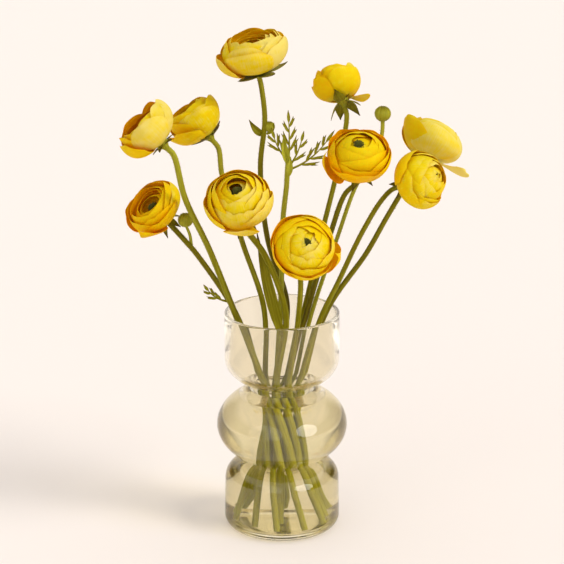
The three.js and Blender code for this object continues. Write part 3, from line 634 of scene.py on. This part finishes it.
def bloom_petals(flower, chance):
    """Each petal of a bloom, from the outermost layer in."""
    flower = {"slim": 1, "lean": 0, **flower}
    width, tall = flower["width"], flower["tall"]
    count = flower["layers"]
    outer_rim = 0.47 * math.cos(math.radians(flower["outer"]))
    petals = []
    for layer in range(count):
        share = layer / (count - 1)
        wild = 1 + (flower["wild"] - 1) * (1 - share)
        top = flower["outer"] + (flower["inner"] - flower["outer"]) * share ** 0.8
        radius = PETAL_REACH + (flower["core"] - PETAL_REACH) * share ** 0.92
        rim = radius * math.cos(math.radians(top))
        # Rims stand on a dome, which sinks to the crater round the eye.
        dome = 0.40 + 0.17 * (1 - (rim / outer_rim) ** 2)
        crater = flower["crater"] * math.exp(-(max(rim - flower["eye"], 0) / 0.12) ** 2)
        number = 5 if share < 0.35 else 4 if share < 0.7 else 3
        first = flower["loose"] + layer * 2.4
        for i in range(number):
            turn = first + i * TAU / number + (chance.uniform(-0.09, 0.09) if layer or i else 0)
            side = math.cos(turn - flower["pale"][0])
            aside = max(0, math.cos(turn - flower["loose"]))
            tone = flower["tone"][0] + (flower["tone"][1] - flower["tone"][0]) * share ** 0.7
            petal = dict(
                radius=radius * width * chance.uniform(0.98, 1.015),
                base=width * (0.004 + 0.09 * share),
                height=(dome - crater) * width * tall * (1 + wild * chance.uniform(-0.05, 0.03)),
                top=top + wild * chance.uniform(-4, 4),
                half=math.pi / number * 1.62 * chance.uniform(0.94, 1.06),
                turn=turn,
                fall=flower["lean"] * aside ** 1.5 * (1 - share) ** 0.6,
                ruffle=wild * chance.uniform(0.2, 0.7) * (1 - 0.5 * share),
                waves=chance.uniform(2.2, 4.5),
                swell=chance.uniform(0.3, 0.9) * (1 - 0.6 * share),
                phase=chance.uniform(0, TAU),
                corner=chance.uniform(0.2, 0.34) * (1 - 0.7 * share),
                notch=chance.choice([0, 0, 0, 0.05]),
                notch_at=chance.uniform(-0.4, 0.4),
                curl=wild * chance.uniform(-0.5, 1.2) if share < 0.35 else chance.uniform(-0.5, 0.3),
                # Petals towards the side that the key lamp lights are painted paler here: painted light.
                tone=tone - flower["pale"][1] * max(side, 0) + chance.uniform(-0.07, 0.07),
                share=share,
            )
            petal.update(flower["odd"].get(len(petals), {}))
            petal["half"] *= petal.get("narrow", 1 if share > 0.5 else flower["slim"])
            petal["height"] += petal.get("higher", 0)
            petals.append(petal)
    return petals


def grow_bloom(flower, number, thickness, material):
    """One bloom: its petals in layers, each a closed blade."""
    chance = np.random.default_rng(100 + number)
    place = facing_frame(bloom_base(flower), flower["facing"])
    growth = Growth()
    for petal in bloom_petals(flower, chance):
        fine = petal["share"] < 0.45
        sheet, grain, along = petal_sheet(petal, 20 if fine else 14, 16 if fine else 12)
        # A petal's inner face is painted deeper: painted shade, for the shade inside the cup.
        tones = (petal["tone"], petal["tone"] + flower["hollow_shade"])
        growth.add_sheet(placed(sheet, place), thickness, grain, tones, along)
    return growth.make(f"bloom_{number}_petals", material, [f"bloom_{number}"])


def bloom_base(flower):
    """The foot of a bloom, where its petals meet the calyx."""
    return np.asarray(flower["head"]) - unit(flower["facing"]) * HEAD_CENTRE * flower["width"] * flower["tall"]


def grow_heart(flower, number, material):
    """The eye of a bloom: packed carpels on a dome, with a ring of anthers, on the receptacle that carries it."""
    chance = np.random.default_rng(200 + number)
    place = facing_frame(bloom_base(flower), flower["facing"])
    width, tall = flower["width"], flower["tall"]
    seat = (0.5 * tall - 1.1 * flower["crater"]) * width - flower["sunk"]
    radius = EYE_RADIUS * width
    growth = Growth()
    path = np.linspace([0, 0, 0.5], [0, 0, seat], 12)
    growth.add_tube(placed(path, place), np.linspace(0.09 * width, radius * 0.9, 12), 16, 0.6)
    for i in range(CARPELS):
        turn = i * GOLDEN_ANGLE
        out = radius * math.sqrt((i + 0.5) / CARPELS)
        rise = 2.4 * math.sqrt(max(0, 1 - (out / radius) ** 2 * 0.8))
        lean = 0.5 * out / radius
        foot = np.array([out * math.cos(turn), out * math.sin(turn), seat - 0.6])
        ahead = np.array([lean * math.cos(turn), lean * math.sin(turn), 1])
        tip = foot + unit(ahead) * (rise + chance.uniform(0.3, 0.9))
        growth.add_tube(placed(np.linspace(foot, tip, 4), place), np.array([0.5, 0.45, 0.33, 0.08]), 6,
                        0.1 + 0.3 * out / radius)
    for i in range(ANTHERS):
        turn = i * GOLDEN_ANGLE
        out = radius * chance.uniform(1.05, 1.3)
        foot = np.array([out * 0.9 * math.cos(turn), out * 0.9 * math.sin(turn), seat - 4])
        tip = np.array([out * 1.15 * math.cos(turn), out * 1.15 * math.sin(turn), seat + chance.uniform(-1, 1)])
        growth.add_tube(placed(np.linspace(foot, tip, 5), place), np.array([0.14, 0.14, 0.3, 0.42, 0.12]), 6, 0.95)
    return growth.make(f"heart_{number}_carpels", material, [f"heart_{number}"])


def leaf_blade(root, tip, bow, half_width, side, fold):
    """The middle surface of a pointed blade, bowed at its middle and folded a little along its rib."""
    root, tip, bow = [np.asarray(p, float) for p in (root, tip, bow)]
    v = np.linspace(0, 1, 9)[:, None]
    middle = (root + tip) / 2 + bow
    spine = root * (1 - v) ** 2 + 2 * middle * v * (1 - v) + tip * v ** 2
    u = np.linspace(-1, 1, 5)
    half = half_width * np.clip(np.sin(math.pi * v ** 0.8), 0.04, 1)
    lift = unit(np.cross(unit(tip - root), side))
    sheet = spine[:, None, :] + (half * u)[:, :, None] * unit(side) + (half * np.abs(u) * fold)[:, :, None] * lift
    grain = np.stack([half * u, v * np.linalg.norm(tip - root) + 0 * u], -1) / 10
    return sheet, grain, v + 0 * u


def add_blade(growth, root, tip, bow, half_width, tone, fold=0.3):
    """A pointed blade that turns its face to the viewer."""
    side = np.cross(unit(np.asarray(tip, float) - root), [0.0, 1.0, 0.0])
    sheet, grain, along = leaf_blade(root, tip, bow, half_width, side, fold)
    growth.add_sheet(sheet, LEAF_THICKNESS, grain, tone, along)


def add_calyx(growth, flower, place):
    """The green cup under a bloom and its five sepals, pressed to the petals or hanging back round the stem."""
    width, tall, stem = flower["width"], flower["tall"], flower["stem"]
    sepal = flower["sepal"]
    path = np.stack([np.zeros(8), np.zeros(8), np.linspace(-CALYX_DEPTH, 1.5, 8)], 1)
    radii = np.array([stem * 0.86, stem * 0.95, stem * 1.15, stem * 1.45, 4.2, 4.9, 4.8, 3.6])
    growth.add_tube(placed(path, place), radii, STEM_SIDES, 0.3)
    bowl_radius = PETAL_REACH * width
    bowl_rise = 0.29 * width * tall
    for i in range(5):
        turn = (i + sepal.get("turn", 0.5)) * TAU / 5
        hang = 0 if i == sepal.get("up") else sepal["hang"] * SEPAL_HANGS[i]
        u = np.linspace(-1, 1, 9)[None, :]
        v = np.linspace(0, 1, 12)[:, None]
        out = 2.2 + sepal["reach"] * width * v * (1 - hang / 3)
        bowl = bowl_rise * (1 - np.sqrt(1 - np.minimum(0.95, out / bowl_radius) ** 2))
        hung = -CALYX_DEPTH * 2 * v ** 1.3 + 1.5 * np.sin(math.pi * v)
        height = bowl * (1 - hang) + hung * hang - 1.6 - 1.4 * v ** 3
        half = sepal["half"] * np.clip(np.sin(math.pi * v ** 0.75), 0.06, 1)
        height = height + 0.16 * half * u ** 2 * (1 - 2 * hang)
        tip = np.array([math.cos(turn), math.sin(turn), 0])
        side = np.array([-math.sin(turn), math.cos(turn), 0])
        sheet = (out + 0 * u)[..., None] * tip + (half * u)[..., None] * side
        sheet = sheet + height[..., None] * np.array([0, 0, 1.0])
        grain = np.stack([half * u, out + 0 * u], -1) / 10
        growth.add_sheet(placed(sheet, place), SEPAL_THICKNESS, grain, sepal["tone"], v + 0 * u)


def add_bud(growth, radius, centre):
    """A round hairy bud: a ball of closed petals under five pointed sepals that overlap."""
    ways = unit(np.random.default_rng(int(10 * radius)).normal(size=(HAIRS_PER_BUD, 3)))
    growth.add_hairs(np.asarray(centre, float) + ways * radius * 0.96, ways, np.full(HAIRS_PER_BUD, 0.9), 0.1)
    place = facing_frame(np.asarray(centre, float) - (0, 0, radius * 0.95), (0, 0, 1))
    for layer, (size, tone, number, top) in enumerate([(0.9, 0.1, 4, 84), (1.0, 0.12, 5, 76)]):
        for i in range(number):
            petal = dict(radius=radius * size, base=0.0, height=radius * (1.75 + 0.1 * layer), top=top,
                         half=math.pi / number * 1.35, turn=layer + i * TAU / number, ruffle=0.0, waves=3,
                         swell=0.0, phase=0.5 * i, corner=0.1, point=0.12)
            sheet, grain, along = petal_sheet(petal, 10, 9)
            growth.add_sheet(placed(sheet, place), LEAF_THICKNESS, grain, tone + 0.05 * i, along)


def add_frond(growth, root, tip, bow, lobes, length):
    """A cut leaf: a thin rib with forked lobes to its two sides in turn."""
    root, tip, bow = [np.asarray(p, float) for p in (root, tip, bow)]
    middle = (root + tip) / 2 + bow
    v = np.linspace(0, 1, 24)[:, None]
    rib = root * (1 - v) ** 2 + 2 * middle * v * (1 - v) + tip * v ** 2
    tone = 0.42
    growth.add_tube(rib, np.linspace(0.95, 0.35, 24), 8, tone)
    for i in range(lobes):
        share = 0.3 + 0.66 * i / lobes
        at = rib[int(share * 23)]
        ahead = unit(rib[min(23, int(share * 23) + 1)] - rib[int(share * 23) - 1])
        aside = unit(np.cross(ahead, [0.0, 1.0 if i % 2 else -1.0, 0.25 if i % 3 else -0.3]))
        reach = length * (1.5 - 0.8 * share)
        end = at + ahead * reach + aside * 0.42 * reach
        add_blade(growth, at - ahead * 0.4, end, -0.6 * ahead + aside, 1.1, tone)
        fork = at + (end - at) * 0.3
        add_blade(growth, fork, fork + ahead * reach * 0.5 + aside * reach * 0.42, aside * 0.4, 0.85, tone + 0.05)
    add_blade(growth, rib[-3], tip + unit(rib[-1] - rib[-3]) * 0.75 * length, (0, 0, 0), 1.2, tone)


def add_stem(growth, route, tip):
    """A stem, a little thicker at its foot, with shallow ribs and short hairs above the vase."""
    path = stem_path(route, tip)
    radii = route["stem"] * np.linspace(1.0, STEM_TAPER, len(path))
    low, high = route["stem_tone"]
    # A stem is lighter low in the vase, and takes its own tones again by the vase's mouth.
    tone = np.interp(path[:, 2], [NECK_HEIGHT - 20, MOUTH_HEIGHT, path[-1, 2]], [TONE_IN_WATER, low, high])
    tone = np.repeat(tone, STEM_SIDES)
    growth.add_tube(path, radii, STEM_SIDES, tone, ridges=STEM_RIBS, ridge_depth=RIB_DEPTH)
    chance = np.random.default_rng(int(10 * route["stem"] + abs(path[-1, 0])))
    bare = path[path[:, 2] > MOUTH_HEIGHT]
    place = chance.uniform(0, len(bare) - 1.01, HAIRS_PER_STEM)
    start = place.astype(int)
    ahead = bare[start + 1] - bare[start]
    out = unit(np.cross(ahead, chance.normal(size=ahead.shape)))
    foot = bare[start] + ahead * (place - start)[:, None] + out * radii[-1]
    growth.add_hairs(foot, unit(out + 0.5 * unit(ahead)), chance.uniform(0.7, 1.5, HAIRS_PER_STEM), low)


def add_first_side_growth(growth):
    """The first flower's side bud, with its pointed bract."""
    add_bud(growth, 4.0, (-9.5, 24.5, 314))
    add_blade(growth, (-12.5, 24, 307), (-25, 22, 320), (-1, 0, -4), 2.8, 0.5)
    add_blade(growth, (-12, 24, 308), (-6, 21, 318), (2.5, 0, -2), 1.8, 0.3)


def add_fourth_side_growth(growth):
    """The fourth flower's side bud on its own stalk, and a small cut leaf lower down."""
    add_bud(growth, 5.6, (-73, -2, 248))
    stalk = smooth_path([(-69, 5, 226), (-70, 2.5, 235), (-73, -2, 244.5)], 16)
    growth.add_tube(stalk, np.linspace(1.3, 1.05, 16), 12, 0.25)
    add_frond(growth, (-42, 2, 182), (-57, 2, 191.5), (-2, 0, -3), 4, 7)


def add_strap_leaf(growth):
    """The long narrow leaf that runs up the fifth flower's stem."""
    add_blade(growth, (2.5, -12.5, 150), (-19, -15, 243), (-3, 0, 0), 4.5, 0.5)


SIDE_GROWTHS = {1: add_first_side_growth, 4: add_fourth_side_growth, 5: add_strap_leaf}


def grow_flower_stem(flower, number, material):
    """A flower's stem with its calyx, its sepals and what else grows on it."""
    base = bloom_base(flower)
    growth = Growth()
    add_stem(growth, flower, base + unit(flower["facing"]) * (1 - CALYX_DEPTH))
    add_calyx(growth, flower, facing_frame(base, flower["facing"]))
    if number in SIDE_GROWTHS:
        SIDE_GROWTHS[number](growth)
    return growth.make(f"stem_{number}_green", material, [f"stem_{number}"])


def grow_bud_stem(material):
    """The stem that carries only a bud."""
    growth = Growth()
    tip = np.array(BUD_STEM["tip"], float)
    add_stem(growth, BUD_STEM, tip)
    add_bud(growth, BUD_STEM["bud"], tip + (0, 0, 5))
    return growth.make("bud_stem_green", material, ["bud_stem"])


def grow_leaf_stem(material):
    """The stem that carries only leaves."""
    growth = Growth()
    tip = np.array(LEAF_STEM["tip"], float)
    add_stem(growth, LEAF_STEM, tip)
    add_frond(growth, tip + (0, 0, -2), tip + (-11, 2, 17), (-3, 0, 0), 4, 10)
    add_frond(growth, tip + (0, 0, -2), tip + (0, 0, 31), (1, 0, 0), 5, 10)
    add_frond(growth, tip + (0, 0, -8), tip + (30, -3, 17), (3, 0, -6), 6, 11)
    add_frond(growth, tip + (0, 0, -6), tip + (10, 3, 15), (2, 0, -2), 3, 9)
    # A young leaf, still folded and pale, and the sheath that it came out of.
    add_blade(growth, tip + (0, 0, -5), tip + (-4, -3, 19), (-1, 0, 0), 2.8, 0.0, fold=0.9)
    add_blade(growth, tip + (0.3, -1.6, -13), tip + (1.5, -2.6, 3), (0, -1, 0), 2.4, 0.0, fold=0.5)
    return growth.make("leaf_stem_green", material, ["leaf_stem"])


def arc(x, y, radius_x, radius_y, start, end, pieces):
    """Points on an ellipse about x and y, between two angles in degrees."""
    turn = np.radians(np.linspace(start, end, pieces + 1))
    return np.stack([x + radius_x * np.cos(turn), y + radius_y * np.sin(turn)], 1)


def vase_outline(inset):
    """The vase's outline from its foot's middle up to its rim, moved inward by inset, as in the part."""
    fine = CURVE_PIECES
    bottom = FLOOR_THICKNESS + inset - WALL if inset > 0 else 0
    corner = FOOT_CORNER - inset
    waist = WAIST_RADIUS - WAIST_DEPTH * inset
    dip = WAIST_DIP * inset
    waist_angle = math.acos(WAIST_RADIUS / BULB_RADIUS)
    bulb_rise = (UPPER_WAIST - LOWER_WAIST) / 2 / math.sin(waist_angle) - inset
    bulb_end = math.degrees(waist_angle) - WAIST_BLEND
    neck_top = UPPER_WAIST + NECK_RISE
    return np.concatenate([
        np.linspace([NEAR_AXIS, bottom], [FOOT_RADIUS - 1, bottom], 6),
        arc(FOOT_RADIUS, bottom + corner, corner, corner, -90, 0, fine),
        arc(BASE_RADIUS - SHOULDER_REACH, LOWER_WAIST - SHOULDER_RISE,
            SHOULDER_REACH - inset, SHOULDER_RISE - inset, 0, 80, fine),
        [[waist, LOWER_WAIST - dip]],
        arc(0, (LOWER_WAIST + UPPER_WAIST) / 2, BULB_RADIUS - inset, bulb_rise, -bulb_end, bulb_end, 4 * fine),
        [[waist, UPPER_WAIST + dip], [waist, neck_top + dip]],
        arc(CUP_RADIUS - CUP_REACH, neck_top + 0.5 + CUP_RISE, CUP_REACH - inset, CUP_RISE - inset, -76, 0, 2 * fine),
    ])


def add_turned(growth, outline, sides):
    """A body turned about the Z axis from an outline that starts and ends near the axis."""
    turn = np.arange(sides) * TAU / sides
    ring = np.stack([np.cos(turn), np.sin(turn)], 1)
    points = np.concatenate([outline[:, :1, None] * ring[None],
                             np.broadcast_to(outline[:, 1:, None], (len(outline), sides, 1))], 2)
    quads, places = grid_quads(len(outline), sides, wrap=True)
    grain = np.stack(np.meshgrid(np.linspace(0, 30, sides + 1), outline[:, 1] / 10), -1).reshape(-1, 2)
    ends = np.stack([np.arange(sides)[::-1], np.arange(sides) + (len(outline) - 1) * sides])
    growth.add(points, [quads, ends], [grain[places], np.zeros((2, sides, 2))], 0.0, 0.0)


def blow_vase(material):
    """The vase: a straight cup over a squat bulb over a straight base, in one wall of glass."""
    rim = arc(CUP_RADIUS - WALL / 2, VASE_HEIGHT - RIM_ROUND, WALL / 2, RIM_ROUND, 0, 180, 10)
    growth = Growth()
    add_turned(growth, np.concatenate([vase_outline(0), rim, vase_outline(WALL)[::-1]]), VASE_SIDES)
    return growth.make("vase_glass", material, ["vase"])


def pour_water(level, material):
    """The water, up to its level, with the small rim that it draws up the glass."""
    wall = vase_outline(WALL - WATER_BITE)
    edge = np.interp(level + WATER_CREEP, wall[:, 1], wall[:, 0])
    surface = [[edge, level + WATER_CREEP], [edge - 0.8, level + 0.15], [edge - WATER_CREEP_WIDTH, level],
               [NEAR_AXIS, level]]
    growth = Growth()
    add_turned(growth, np.concatenate([wall[wall[:, 1] < level - 1], surface]), VASE_SIDES)
    return growth.make("water_fill", material, ["water"])


# Studio.


def add_sun(name, facing, strength, softness, colour):
    """A soft lamp far away, shining from the given direction."""
    lamp = bpy.data.lights.new(name, "SUN")
    lamp.energy = strength
    lamp.angle = math.radians(softness)
    lamp.color = colour
    sun = bpy.data.objects.new(name, lamp)
    bpy.context.scene.collection.objects.link(sun)
    from_way = unit(facing)
    pitch = math.acos(from_way[2])
    sun.rotation_euler = (pitch, 0, math.atan2(from_way[0], -from_way[1]))
    return sun


def set_camera(settings):
    """The camera, a long lens that looks a little down at the bouquet."""
    camera = bpy.data.cameras.new("camera")
    camera.lens = settings.lens
    camera.sensor_width = 36
    camera.sensor_fit = "HORIZONTAL"
    camera.clip_end = 50
    viewer = bpy.data.objects.new("camera", camera)
    viewer.location = settings.camera_place
    viewer.rotation_euler = (settings.camera_tilt, 0, 0)
    bpy.context.scene.collection.objects.link(viewer)
    bpy.context.scene.camera = viewer


def lay_floor(material):
    """A plain floor, wide enough to be the backdrop too."""
    floor = bpy.data.meshes.new("floor")
    edge = FLOOR_EDGE
    floor.from_pydata([(-edge, -edge, 0), (edge, -edge, 0), (edge, edge, 0), (-edge, edge, 0)], [], [(0, 1, 2, 3)])
    floor.materials.append(material)
    ground = bpy.data.objects.new("floor", floor)
    ground.location = (0, 0, -FLOOR_DROP)
    bpy.context.scene.collection.objects.link(ground)


def light_room(settings):
    """The room that glass shows, and the lamps."""
    world = bpy.data.worlds.new("studio")
    bpy.context.scene.world = world
    world.cycles_visibility.diffuse = False
    world.use_nodes = True
    world.node_tree.nodes.clear()
    # Glass shows the dull walls to the left and right of the set, between the pale floor and the ceiling.
    way = add_node(world.node_tree, "ShaderNodeTexCoord").outputs["Generated"]
    part = add_node(world.node_tree, "ShaderNodeSeparateXYZ", inputs={"Vector": way}).outputs
    aside = add_node(world.node_tree, "ShaderNodeMath", {"operation": "ABSOLUTE"}, {0: part["X"]})
    wall = add_node(world.node_tree, "ShaderNodeMapRange", inputs={
        "Value": aside.outputs["Value"], "From Min": 0.4, "From Max": 0.62}).outputs["Result"]
    for low, high, start, end in ((0.0, 0.05, 0.0, 1.0), (0.42, 0.6, 1.0, 0.0)):
        band = add_node(world.node_tree, "ShaderNodeMapRange", inputs={
            "Value": part["Z"], "From Min": low, "From Max": high, "To Min": start, "To Max": end})
        wall = add_node(world.node_tree, "ShaderNodeMath", {"operation": "MULTIPLY"}, {
            0: wall, 1: band.outputs["Result"]}).outputs["Value"]
    # Behind the set the backdrop is as pale as the room, from every side.
    seen = add_node(world.node_tree, "ShaderNodeLightPath").outputs["Is Camera Ray"]
    wall = add_node(world.node_tree, "ShaderNodeMath", {"operation": "SUBTRACT", "use_clamp": True}, {
        0: wall, 1: seen}).outputs["Value"]
    shade = add_node(world.node_tree, "ShaderNodeMix", {"data_type": "RGBA"}, {
        0: wall, 6: solid(settings.room), 7: solid(settings.wall)})
    room = add_node(world.node_tree, "ShaderNodeBackground", inputs={"Color": shade.outputs[2], "Strength": 1.0})
    add_node(world.node_tree, "ShaderNodeOutputWorld", inputs={"Surface": room.outputs["Background"]})
    # Thick glass and packed petals hand light on many times before it comes out.
    cycles = bpy.context.scene.cycles
    cycles.max_bounces, cycles.transmission_bounces, cycles.glossy_bounces, cycles.diffuse_bounces = 64, 64, 64, 8
    key = add_sun("key", KEY_WAY, settings.key, settings.key_softness, (1, 0.98, 0.95))
    key.visible_transmission, key.visible_glossy = False, False
    # The main lamp shines through a wide cloth, which is what shows as a highlight.
    cloth = add_sun("cloth", CLOTH_WAY, settings.key, CLOTH_SOFTNESS, (1, 1, 0.97))
    cloth.visible_diffuse, cloth.visible_transmission = False, False
    # In glass, the room stands for the light from above.
    sky = add_sun("sky", (0, 0, 1), settings.sky, SKY_SOFTNESS, (1, 1, 1))
    sky.visible_transmission, sky.visible_glossy = False, False
    add_sun("fill", FILL_WAY, settings.fill, FILL_SOFTNESS, (1, 1, 1))
    view = bpy.context.scene.view_settings
    view.view_transform = "Standard"
    view.look = "None"


# Settings, operators and panel.


def colour_property(name, description, hex_colour):
    """A colour setting with an sRGB default."""
    return FloatVectorProperty(name=name, description=description, subtype="COLOR", size=3, min=0, max=1,
                               default=linear(hex_colour))


class BouquetColours(bpy.types.PropertyGroup):
    """Colours of the flowers, the vase and the floor"""

    petal_pale: colour_property("Pale petal", "The lightest petals", "FBEC7A")
    petal_lemon: colour_property("Lemon petal", "Light petals", "FBE60C")
    petal_gold: colour_property("Golden petal", "Most petals", "FCCF00")
    petal_orange: colour_property("Orange petal", "The deepest petals", "F2A600")
    petal_root: colour_property("Petal root", "The foot of each petal", "D9D24A")
    stem_light: colour_property("Light stem", "The lightest streaks of the stems", "B2B036")
    stem_green: colour_property("Green stem", "Stems, sepals and leaves", "807706")
    stem_brown: colour_property("Brown stem", "Old sepals", "4A3C08")
    eye_green: colour_property("Eye", "The carpels", "6F7420")
    eye_brown: colour_property("Anthers", "The ring round the eye", "4A3208")
    glass_tint: colour_property("Glass", "The tint of the glass", "F5F0DF")
    water_tint: colour_property("Water", "The tint of the water", "F8F6E4")
    floor: colour_property("Floor", "The floor's paint", "F5EBE4")


class BouquetSizes(bpy.types.PropertyGroup):
    """Sizes that can change while the flowers keep their places"""

    petal_thickness: FloatProperty(name="Petal thickness", description="Thickness of a petal in millimetres",
                                   default=0.3, min=0.1, max=1.0)
    water_level: FloatProperty(name="Water level", description="Height of the water in millimetres",
                               default=106, min=60, max=108)
    blooms: IntProperty(name="Blooms", description="How many of the ten flowers are made", default=10, min=1, max=10)


class StudioSettings(bpy.types.PropertyGroup):
    """The camera, the lamps and what lies round the set"""

    lens: FloatProperty(name="Lens", description="Focal length in millimetres", default=150.2,
                        subtype="DISTANCE_CAMERA")
    camera_place: FloatVectorProperty(name="Camera", description="Where the camera stands", size=3,
                                      default=(0, -1.712, 0.738), subtype="TRANSLATION", unit="LENGTH")
    camera_tilt: FloatProperty(name="Tilt", description="Camera tilt from straight down", subtype="ANGLE",
                               default=math.radians(72.5))
    room: colour_property("Room", "What lies round the set", "FFF6EE")
    wall: colour_property("Wall", "The dull walls at the sides", "3E342B")
    key: FloatProperty(name="Key", description="Strength of the main lamp", default=1.95, min=0)
    key_softness: FloatProperty(name="Key softness", description="Width of the main lamp in degrees", default=22)
    sky: FloatProperty(name="Sky", description="Strength of the light from above", default=2.1, min=0)
    fill: FloatProperty(name="Fill", description="Strength of the light from the left", default=0.5, min=0)


def colours():
    """The scene's colour settings."""
    return bpy.context.scene.bouquet_colours


def sizes():
    """The scene's size settings."""
    return bpy.context.scene.bouquet_sizes


class BOUQUET_OT_vase(bpy.types.Operator):
    """Make the glass vase"""

    bl_idname = "bouquet.vase"
    bl_label = "Vase"

    def execute(self, context):
        blow_vase(blown_amber_glass(colours()))
        return {"FINISHED"}


class BOUQUET_OT_water(bpy.types.Operator):
    """Fill the vase with water"""

    bl_idname = "bouquet.water"
    bl_label = "Water"

    def execute(self, context):
        pour_water(sizes().water_level, still_tap_water(colours()))
        return {"FINISHED"}


class BOUQUET_OT_blooms(bpy.types.Operator):
    """Make the petals of the flowers"""

    bl_idname = "bouquet.blooms"
    bl_label = "Blooms"

    def execute(self, context):
        material = fresh_ranunculus_petal(colours())
        for number, flower in enumerate(FLOWERS[:sizes().blooms], 1):
            grow_bloom(flower, number, sizes().petal_thickness, material)
        return {"FINISHED"}


class BOUQUET_OT_hearts(bpy.types.Operator):
    """Make the eyes of the flowers"""

    bl_idname = "bouquet.hearts"
    bl_label = "Eyes"

    def execute(self, context):
        material = packed_carpels(colours())
        for number, flower in enumerate(FLOWERS[:sizes().blooms], 1):
            grow_heart(flower, number, material)
        return {"FINISHED"}


class BOUQUET_OT_stems(bpy.types.Operator):
    """Make the stems, with their sepals, buds and leaves"""

    bl_idname = "bouquet.stems"
    bl_label = "Stems"

    def execute(self, context):
        material = ribbed_green_stem(colours())
        for number, flower in enumerate(FLOWERS, 1):
            grow_flower_stem(flower, number, material)
        grow_bud_stem(material)
        grow_leaf_stem(material)
        return {"FINISHED"}


class BOUQUET_OT_stage(bpy.types.Operator):
    """Set up the studio: floor, lamps and camera"""

    bl_idname = "bouquet.stage"
    bl_label = "Stage"

    def execute(self, context):
        studio = context.scene.bouquet_studio
        set_camera(studio)
        lay_floor(matt_painted_floor(colours()))
        light_room(studio)
        return {"FINISHED"}


STEPS = (BOUQUET_OT_stage, BOUQUET_OT_vase, BOUQUET_OT_water, BOUQUET_OT_stems, BOUQUET_OT_hearts,
         BOUQUET_OT_blooms)


class BOUQUET_PT_panel(bpy.types.Panel):
    bl_idname = "BOUQUET_PT_panel"
    bl_label = "Ranunculus bouquet"
    bl_space_type = "VIEW_3D"
    bl_region_type = "UI"
    bl_category = "Ranunculus"

    def draw(self, context):
        for step in STEPS:
            self.layout.operator(step.bl_idname)
        for settings in (sizes(), colours(), context.scene.bouquet_studio):
            for name in settings.__annotations__:
                self.layout.prop(settings, name)


CLASSES = (BouquetColours, BouquetSizes, StudioSettings, *STEPS, BOUQUET_PT_panel)


def register():
    for kind in CLASSES:
        bpy.utils.register_class(kind)
    bpy.types.Scene.bouquet_colours = PointerProperty(type=BouquetColours)
    bpy.types.Scene.bouquet_sizes = PointerProperty(type=BouquetSizes)
    bpy.types.Scene.bouquet_studio = PointerProperty(type=StudioSettings)


def unregister():
    for name in ("bouquet_colours", "bouquet_sizes", "bouquet_studio"):
        delattr(bpy.types.Scene, name)
    for kind in reversed(CLASSES):
        bpy.utils.unregister_class(kind)


def main():
    register()
    for step in STEPS:
        area, name = step.bl_idname.split(".")
        getattr(getattr(bpy.ops, area), name)()


if __name__ == "__main__":
    main()
